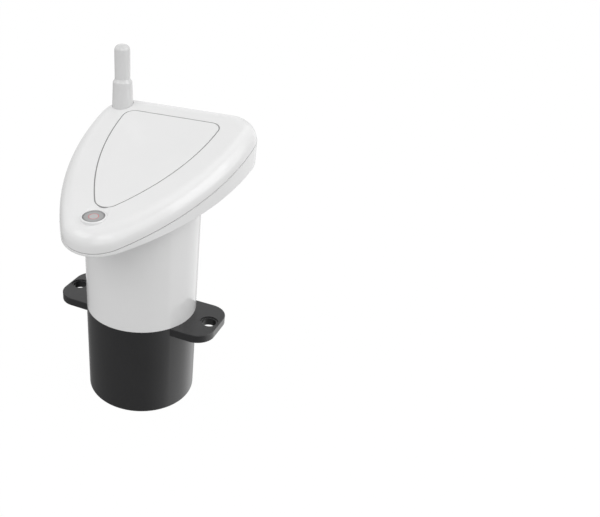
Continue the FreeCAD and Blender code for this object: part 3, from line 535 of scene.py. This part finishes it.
class SensorStudio(bpy.types.PropertyGroup):
    """The studio's light and the camera."""

    sky: bpy.props.FloatProperty(
        name="Sky", description="Brightness of the room on the object", default=0.74, min=0.0)
    left_light: bpy.props.FloatProperty(
        name="Left light", description="Power of the softbox on the left", default=1.35, min=0.0,
        unit="POWER")
    side_light: bpy.props.FloatProperty(
        name="Side light", description="Power of the softbox on the right", default=0.75,
        min=0.0, unit="POWER")
    centre_light: bpy.props.FloatProperty(
        name="Centre light", description="Power of the softbox over the camera", default=0.8, min=0.0,
        unit="POWER")
    camera_at: bpy.props.FloatVectorProperty(
        name="Camera", description="Place of the camera", subtype="TRANSLATION", unit="LENGTH",
        size=3, default=(0.11434, -0.21128, 0.19183))
    azimuth: bpy.props.FloatProperty(
        name="Azimuth", description="Turn of the camera about the upright axis", subtype="ANGLE",
        default=math.radians(28.42))
    pitch: bpy.props.FloatProperty(
        name="Pitch", description="How far the camera looks down", subtype="ANGLE",
        default=math.radians(30.994))
    roll: bpy.props.FloatProperty(
        name="Roll", description="Turn of the camera about its own view", subtype="ANGLE",
        default=math.radians(0.31))
    lens: bpy.props.FloatProperty(
        name="Lens", description="Focal length in millimetres", default=40.234, min=1.0)
    shift: bpy.props.FloatVectorProperty(
        name="Shift", description="Shift of the picture", size=2, default=(0.2637, 0.0496))


class SENSOR_OT_shell(bpy.types.Operator):
    """White mouldings: cover, lid, pan with tube, antenna and bezel"""

    bl_idname = "sensor.shell"
    bl_label = "Shell"

    def execute(self, context):
        colours, finish = context.scene.sensor_colours, context.scene.sensor_finish
        surface = (finish.shell_gloss, finish.grain, 1400.0)
        dress(moulded("glossy_white", colours.shell, *surface), "head_cover", "battery_lid", "body_housing",
              "button_bezel", "sensor_plugs")
        # The antenna is drawn in the shell's white, darkened as painted shade
        dress(moulded("antenna_white", shaded(colours.shell, finish.antenna_shade), *surface),
              "antenna_sleeve")
        return {"FINISHED"}


class SENSOR_OT_base(bpy.types.Operator):
    """Black cup with its two ears"""

    bl_idname = "sensor.base"
    bl_label = "Base"

    def execute(self, context):
        colours, finish = context.scene.sensor_colours, context.scene.sensor_finish
        dress(moulded("satin_black", colours.base, finish.base_gloss, finish.grain * 4, 2200.0, 0.08),
              "transducer_base")
        return {"FINISHED"}


class SENSOR_OT_button(bpy.types.Operator):
    """Test button, its red ring and the switch under it"""

    bl_idname = "sensor.button"
    bl_label = "Button"

    def execute(self, context):
        colours = context.scene.sensor_colours
        dress(button_grey(colours.button), "test_button")
        dress(moulded("ring_red", colours.ring, 0.3, 1e-6, 2000.0, 0.05), "indicator_ring")
        dress(moulded("switch_black", slot_colour("chip_black"), 0.5, 4e-6, 2600.0, 0.1),
              "tact_switch", "switch_plunger")
        dress(metal("clip_steel", slot_colour("spring_steel"), 0.3), "button_clip")
        return {"FINISHED"}


class SENSOR_OT_seals(bpy.types.Operator):
    """Seam band, lid seal and round seal rings"""

    bl_idname = "sensor.seals"
    bl_label = "Seals"

    def execute(self, context):
        colours, finish = context.scene.sensor_colours, context.scene.sensor_finish
        # The head's seam band: its rubber darkened as painted shade of the recess
        dress(soft_rubber("seam_rubber", shaded(colours.seam, finish.seam_shade)), "head_gasket")
        # The lid's gasket and seal lip share the rubber darkened further, a painted shade of the groove
        grey = soft_rubber("lid_rubber", shaded(colours.seam, finish.lid_shade))
        dress(grey, "lid_gasket")
        points, faces = lip_along(*top_rim("battery_lid"), np.array(LIP_SECTION) * MM)
        add_piece("lid_seal_lip", points, faces, "lid", grey)
        dress(soft_rubber("seal_rubber", slot_colour("black_rubber")), "base_o_ring", "antenna_seal",
              "bezel_seal", "transducer_seals")
        return {"FINISHED"}


class SENSOR_OT_electronics(bpy.types.Operator):
    """Boards with their chips, small parts and solder, and the antenna's wire"""

    bl_idname = "sensor.electronics"
    bl_label = "Electronics"

    def execute(self, context):
        green = slot_colour("circuit_board")
        dress(solder_mask("board_green", green, PAN_LEAN), "main_board")
        dress(solder_mask("board_green_flat", green, 0.0), "transducer_board")
        epoxy = moulded("chip_epoxy", slot_colour("chip_black"), 0.55, 6e-6, 3000.0, 0.15)
        dress(epoxy, "microcontroller", "thermistor")
        tin = metal("tinned", (0.74, 0.74, 0.72), 0.32)
        dress(tin, "rf_module", "board_capacitors")
        dress(moulded("lamp_lens", slot_colour("led_lens"), 0.15, 1e-6, 900.0), "status_led")
        dress(metal("drawn_brass", slot_colour("brass"), 0.28), "antenna_coil", "antenna_nut")
        dress(soft_rubber("lead_sleeve", slot_colour("lead_jacket")), "sensor_lead", "battery_lead")
        self.add_chips(epoxy, tin)
        self.add_pin_solder(tin, context.scene.sensor_finish.solder_size / 2)
        return {"FINISHED"}

    def add_chips(self, epoxy, tin):
        """Small parts along the leaning board, each with a tinned end on both sides."""
        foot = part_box("status_led")[0]
        surface = Matrix.Translation(Vector((0, foot.y, foot.z))) @ Matrix.Rotation(PAN_LEAN, 4, "X")
        places = np.column_stack([np.array(CHIP_SPOTS, float), np.full(len(CHIP_SPOTS), CHIP_LIFT)]) * MM
        points, faces = scattered(pebble(np.array(CHIP_SIZE) * MM, 9, 16, 0.35), places)
        add_piece("board_chips", into(surface, points), faces, "housing", epoxy)
        out = np.array((CHIP_END_OUT * MM, 0, 0))
        ends = np.concatenate([places - out, places + out])
        points, faces = scattered(pebble(np.array(CHIP_END_SIZE) * MM, 7, 12, 0.5), ends)
        add_piece("board_solder", into(surface, points), faces, "housing", tin)

    def add_pin_solder(self, tin, reach):
        """A dome of solder round each transducer pin."""
        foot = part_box("transducer_transmit")[1].z - PIN_FOOT * MM
        centres = [node_middle("transducer_transmit"), node_middle("transducer_receive")]
        feet = [(centre.x + shift * MM, centre.y, foot)
                for centre in centres for shift in (-PIN_OFF, PIN_OFF)]
        pin_gap, tip = 0.05 * MM, 0.02 * MM
        height = DOME_HEIGHT * MM
        arch = np.linspace(0, np.pi / 2, 7)
        dome = [(reach * math.cos(a) ** 1.5 + pin_gap, height * math.sin(a)) for a in arch]
        points, faces = scattered(lathe([(0, 0)] + dome + [(0, height + tip)], DOME_SIDES), np.array(feet))
        add_piece("pin_solder", points, faces, "housing", tin)


class SENSOR_OT_power(bpy.types.Operator):
    """Cells in their sleeves, the carrier and its contacts"""

    bl_idname = "sensor.power"
    bl_label = "Power"

    def execute(self, context):
        colours, finish = context.scene.sensor_colours, context.scene.sensor_finish
        dress(moulded("carrier_black", slot_colour("chip_black"), 0.5, 6e-6, 2200.0, 0.1),
              "battery_carrier")
        dress(metal("contact_steel", slot_colour("spring_steel"), 0.25), "lower_spring_contact",
              "lower_pole_contact", "upper_bridge_contact", "floor_contacts")
        steel = metal("cell_steel", (0.72, 0.72, 0.71), 0.22)
        for node, flip in (("battery_cell_a", False), ("battery_cell_b", True)):
            low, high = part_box(node)
            middle = (low + high) / 2
            radius = (high.x - low.x) / 2
            profile, sleeve_end = self.cell_profile(radius, high.z - low.z, finish.sleeve_skin)
            points, faces = lathe(profile, CELL_SIDES)
            bands = stacked_bands(len(profile) - 2, CELL_SIDES)
            bare = (bands < 1) | (bands >= sleeve_end)
            nub, band = CELL_NUB_HEIGHT * MM, CELL_BAND * MM
            if flip:
                points = points * (1, -1, -1) + (middle.x, middle.y, high.z)
                span = (low.z + nub, low.z + band)
            else:
                points = points + (middle.x, middle.y, low.z)
                span = (high.z - band, high.z - nub)
            sleeve = sleeve_print("sleeve_" + node[-1], slot_colour("cell_jacket"), colours.cell_band, *span)
            piece = add_piece("cell_" + node[-1] + "_sleeve", points, faces, "housing", [sleeve, steel],
                              bare.astype(int))
            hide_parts(node)
        return {"FINISHED"}

    def cell_profile(self, radius, height, skin):
        """A cell's side from its dished foot to its nub, and the number of the ring where the sleeve ends."""
        length = height - CELL_NUB_HEIGHT * MM
        nub, soft, dish = CELL_NUB_R * MM, CELL_ROUND * MM, CELL_DISH * MM
        lip = radius - CELL_LIP * MM
        bend = np.linspace(0, np.pi / 2, 6)
        plate = [(radius - 1.6 * MM, dish), (radius - 1.3 * MM, 0)]
        foot = [(radius - soft + soft * math.sin(a), soft - soft * math.cos(a)) for a in bend]
        head = [(radius - soft + soft * math.cos(a), length - soft + soft * math.sin(a)) for a in bend]
        sleeved = plate + foot + head + [(lip, length)]
        bare = [(lip - 0.1 * MM, length - skin), (nub + 1.2 * MM, length - 0.3 * MM),
                (nub + 0.5 * MM, length), (nub, length + 0.2 * MM), (nub, height - 0.2 * MM),
                (nub - 0.2 * MM, height)]
        return [(0, dish)] + sleeved + bare + [(0, height)], len(sleeved)


class SENSOR_OT_transducers(bpy.types.Operator):
    """The two cans and the fine rings of their faces"""

    bl_idname = "sensor.transducers"
    bl_label = "Transducers"

    def execute(self, context):
        can = metal("can_aluminium", slot_colour("transducer_can"), 0.35)
        dress(can, "transducer_transmit", "transducer_receive")
        reach, thickness = FACE_R * MM, FACE_THICKNESS * MM
        spread = np.linspace(0, 1, 60)[1:]
        ripple = FACE_RIPPLE * MM * np.cos(spread * 2 * np.pi * FACE_RINGS)
        rings = [(0, 0)] + list(zip(reach * spread, ripple)) + [(reach, thickness), (0, thickness)]
        places = []
        for node in ("transducer_transmit", "transducer_receive"):
            middle = node_middle(node)
            places.append((middle.x, middle.y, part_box(node)[0].z + FACE_HEIGHT * MM))
        points, faces = scattered(lathe(rings, FACE_SIDES), np.array(places))
        add_piece("transducer_faces", points, faces, "housing", can)
        return {"FINISHED"}


class SENSOR_OT_fasteners(bpy.types.Operator):
    """Screws of the head, base and lower board"""

    bl_idname = "sensor.fasteners"
    bl_label = "Fasteners"

    def execute(self, context):
        dress(metal("zinc_plate", slot_colour("zinc_steel"), 0.32), "head_screws", "base_screws",
              "transducer_board_screws")
        return {"FINISHED"}


def softbox(name, at, towards, width, height, power):
    """A rectangular light that faces a point."""
    lamp = bpy.data.lights.new(name, "AREA")
    lamp.shape = "RECTANGLE"
    lamp.size = width
    lamp.size_y = height
    lamp.energy = power
    light = bpy.data.objects.new(name, lamp)
    light.location = at
    light.rotation_euler = (Vector(towards) - Vector(at)).to_track_quat("-Z", "Y").to_euler()
    bpy.context.scene.collection.objects.link(light)


def room_reflection(graph, facing):
    """What shiny surfaces see: a dim room, tall panels on the right, a pale wall behind, two softboxes."""
    way = graph.node("ShaderNodeTexCoord", output="Generated")
    turned = graph.node("ShaderNodeMapping", None, Vector=way, Rotation=(0.0, 0.0, -facing))
    across = graph.node("ShaderNodeSeparateXYZ", None, turned, output="X")
    right = graph.node("ShaderNodeSeparateXYZ", None, turned, output="Y")
    height = graph.node("ShaderNodeSeparateXYZ", None, turned, output="Z")
    angle = right.math("ARCTAN2", right, across)

    low_wall = 1 - graph.rise(height, *BEHIND_HEIGHTS)
    total = graph.rise(angle.math("ABSOLUTE", angle), *BEHIND_ANGLES) * low_wall * ROOM_BEHIND + ROOM_WALLS
    for brightness, angles in ROOM_PANELS:
        total = total + graph.arc(angle, *angles) * brightness
    raised = graph.arc(height, *SOFTBOX_HEIGHTS)
    for brightness, angles in ROOM_SOFTBOXES:
        total = total + raised * graph.arc(angle, *angles) * brightness
    return total


class SENSOR_OT_studio(bpy.types.Operator):
    """Floor, room, softboxes and camera"""

    bl_idname = "sensor.studio"
    bl_label = "Studio"

    def execute(self, context):
        scene, studio = context.scene, context.scene.sensor_studio
        scene.view_settings.view_transform = "Standard"
        self.add_floor(scene)
        self.add_room(scene, studio)
        for name, at, width, height, setting in SOFTBOXES:
            softbox(name, at, LIGHTS_TOWARDS, width, height, getattr(studio, setting))
        self.add_camera(scene, studio)
        return {"FINISHED"}

    def add_floor(self, scene):
        """White paper that glows for the camera and stays grey for the object."""
        row = FLOOR_SQUARES + 1
        side = np.linspace(-FLOOR_HALF, FLOOR_HALF, row)
        x, y = np.meshgrid(side, side, indexing="ij")
        points = np.stack([x, y, 0 * x], axis=-1).reshape(-1, 3)
        i, j = np.meshgrid(np.arange(FLOOR_SQUARES), np.arange(FLOOR_SQUARES), indexing="ij")
        near, far = i * row + j, (i + 1) * row + j
        faces = np.stack([near, far, far + 1, near + 1], -1)
        mesh = bpy.data.meshes.new("floor")
        mesh.from_pydata(points.tolist(), [], faces.reshape(-1, 4).tolist())
        floor = bpy.data.objects.new("floor", mesh)
        scene.collection.objects.link(floor)
        floor.visible_glossy = False
        paper = bpy.data.materials.new("white_paper")
        graph = Graph(paper)
        path = graph.node("ShaderNodeLightPath", output="Is Camera Ray")
        clear = graph.node("ShaderNodeLightPath", output="Is Transmission Ray")
        diffuse = graph.node("ShaderNodeBsdfDiffuse", None, (FLOOR_GREY, FLOOR_GREY, FLOOR_GREY, 1))
        glow = graph.node("ShaderNodeEmission", None, (1, 1, 1, 1), FLOOR_GLOW)
        seen = (path * FLOOR_SEEN + clear * FLOOR_SEEN_CLEAR).clamped()
        graph.node("ShaderNodeOutputMaterial", None,
                   graph.node("ShaderNodeMixShader", None, seen, diffuse, glow))
        mesh.materials.append(paper)

    def add_room(self, scene, studio):
        """The world: white for the camera, a panelled room for shiny surfaces, even light for the rest."""
        world = bpy.data.worlds.new("room")
        scene.world = world
        graph = Graph(world)
        path = graph.node("ShaderNodeLightPath", output="Is Camera Ray")
        glossy = graph.node("ShaderNodeLightPath", output="Is Glossy Ray")
        clear = graph.node("ShaderNodeLightPath", output="Is Transmission Ray")
        direct = (path + clear).clamped()
        facing = studio.azimuth - math.pi / 2
        around = glossy * room_reflection(graph, facing) + (1 - glossy) * studio.sky
        strength = direct + (1 - direct) * around
        graph.node("ShaderNodeOutputWorld", None,
                   graph.node("ShaderNodeBackground", None, (1, 1, 1, 1), strength))

    def add_camera(self, scene, studio):
        """The camera, at the place and turn that the photo was solved for."""
        lens = bpy.data.cameras.new("camera")
        lens.lens = studio.lens
        lens.sensor_width = 36.0
        lens.shift_x, lens.shift_y = studio.shift
        lens.clip_start = 0.01
        camera = bpy.data.objects.new("camera", lens)
        camera.matrix_world = (Matrix.Translation(Vector(studio.camera_at))
                               @ Matrix.Rotation(studio.azimuth, 4, "Z")
                               @ Matrix.Rotation(math.pi / 2 - studio.pitch, 4, "X")
                               @ Matrix.Rotation(studio.roll, 4, "Z"))
        scene.collection.objects.link(camera)
        scene.camera = camera


STEPS = (SENSOR_OT_shell, SENSOR_OT_base, SENSOR_OT_button, SENSOR_OT_seals, SENSOR_OT_electronics,
         SENSOR_OT_power, SENSOR_OT_transducers, SENSOR_OT_fasteners, SENSOR_OT_studio)


class SENSOR_PT_panel(bpy.types.Panel):
    """Lists the colours, finishes and steps."""

    bl_label = "Level sensor"
    bl_idname = "SENSOR_PT_panel"
    bl_space_type = "VIEW_3D"
    bl_region_type = "UI"
    bl_category = "Sensor"

    def draw(self, context):
        scene = context.scene
        for group in (scene.sensor_colours, scene.sensor_finish, scene.sensor_studio):
            box = self.layout.box()
            for name in group.__annotations__:
                box.prop(group, name)
        for step in STEPS:
            self.layout.operator(step.bl_idname)


CLASSES = (SensorColours, SensorFinish, SensorStudio) + STEPS + (SENSOR_PT_panel,)


def register():
    for entry in CLASSES:
        bpy.utils.register_class(entry)
    bpy.types.Scene.sensor_colours = bpy.props.PointerProperty(type=SensorColours)
    bpy.types.Scene.sensor_finish = bpy.props.PointerProperty(type=SensorFinish)
    bpy.types.Scene.sensor_studio = bpy.props.PointerProperty(type=SensorStudio)


def unregister():
    del bpy.types.Scene.sensor_studio
    del bpy.types.Scene.sensor_finish
    del bpy.types.Scene.sensor_colours
    for entry in reversed(CLASSES):
        bpy.utils.unregister_class(entry)


def main():
    """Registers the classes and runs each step."""
    register()
    bpy.ops.sensor.shell()
    bpy.ops.sensor.base()
    bpy.ops.sensor.button()
    bpy.ops.sensor.seals()
    bpy.ops.sensor.electronics()
    bpy.ops.sensor.power()
    bpy.ops.sensor.transducers()
    bpy.ops.sensor.fasteners()
    bpy.ops.sensor.studio()


if __name__ == "__main__":
    main()
